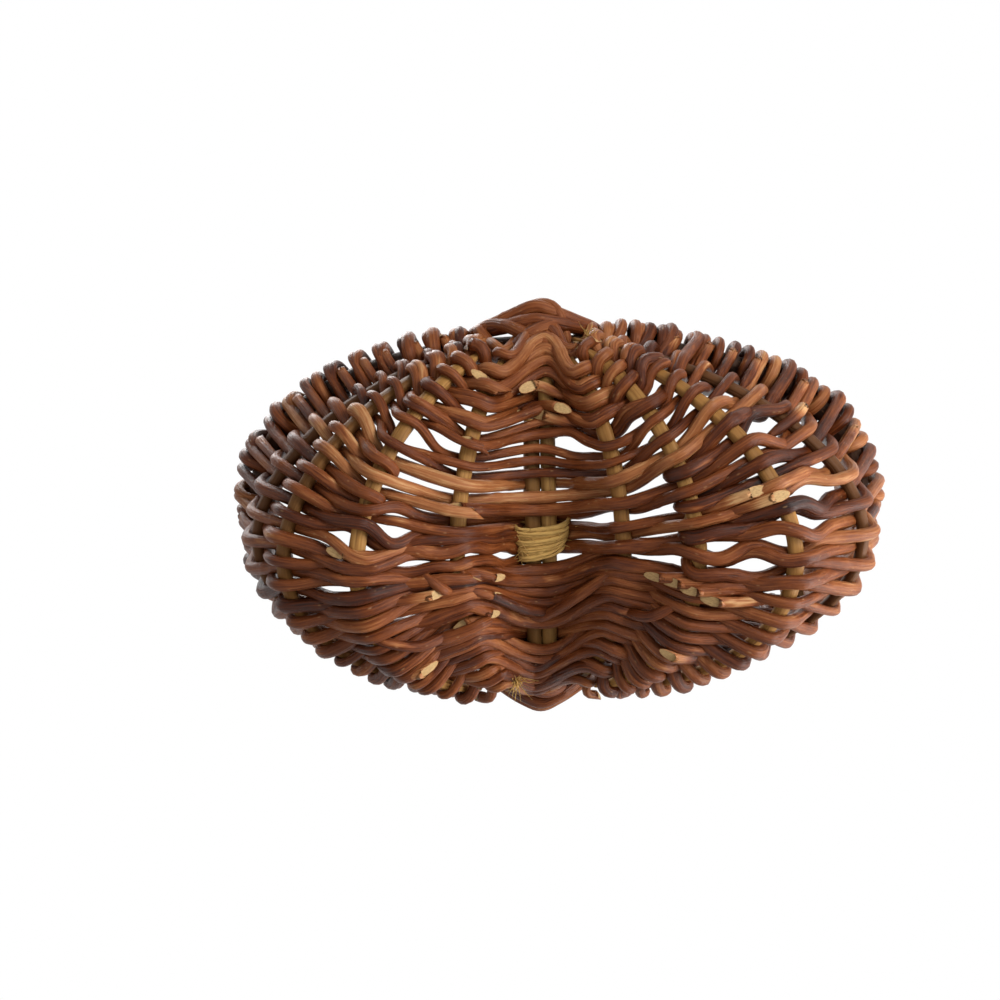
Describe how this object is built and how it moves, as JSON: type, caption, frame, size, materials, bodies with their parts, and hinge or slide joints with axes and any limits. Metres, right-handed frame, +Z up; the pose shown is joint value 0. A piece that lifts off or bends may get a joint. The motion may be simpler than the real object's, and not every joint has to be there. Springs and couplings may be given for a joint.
{
  "type": "buttocks basket",
  "caption": "Small oval willow basket with a two-lobed ribbed bowl, woven on a rim hoop and a handle hoop, for carrying eggs or garden produce.",
  "frame": {"origin": "middle of the bounding box, on the surface the basket stands on", "axes": "+Z up, +X along the long way of the rim towards the fuller lobe, +Y from ear to ear"},
  "size_m": [0.2418, 0.1582, 0.1957],
  "materials": {
    "willow_bark": "red-brown bark, semi-gloss",
    "peeled_wood": "peeled straw-coloured wood, satin",
    "dark_bark": "dark bark, semi-gloss",
    "twine": "twisted jute, matt"
  },
  "bodies": {
    "root": {"ear_wrap_back": "willow_bark", "ear_wrap_front": "willow_bark", "handle_hoop": "peeled_wood", "lashing_spine": "twine", "rib_left_1": "peeled_wood", "rib_left_2": "peeled_wood", "rib_left_3": "peeled_wood", "rib_left_4": "peeled_wood", "rib_right_1": "peeled_wood", "rib_right_2": "peeled_wood", "rib_right_3": "peeled_wood", "rib_right_4": "peeled_wood", "rim_hoop": "dark_bark", "weaver_01": "willow_bark", "weaver_02": "willow_bark", "weaver_03": "willow_bark", "weaver_04": "willow_bark", "weaver_05": "willow_bark", "weaver_06": "willow_bark", "weaver_07": "willow_bark", "weaver_08": "willow_bark", "weaver_09": "willow_bark", "weaver_10": "willow_bark", "weaver_11": "willow_bark", "weaver_12": "willow_bark", "weaver_13": "willow_bark", "weaver_14": "willow_bark", "weaver_15": "willow_bark", "weaver_16": "willow_bark", "weaver_17": "willow_bark", "weaver_18": "willow_bark", "weaver_19": "willow_bark", "weaver_20": "willow_bark", "weaver_21": "willow_bark", "weaver_22": "willow_bark", "weaver_23": "willow_bark", "weaver_24": "willow_bark", "weaver_25": "willow_bark", "weaver_26": "willow_bark", "weaver_27": "willow_bark", "weaver_28": "willow_bark", "weaver_29": "willow_bark", "weaver_30": "willow_bark", "weaver_31": "willow_bark", "weaver_32": "willow_bark", "weaver_33": "willow_bark", "weaver_34": "willow_bark", "weaver_35": "willow_bark"}
  },
  "joints": []
}
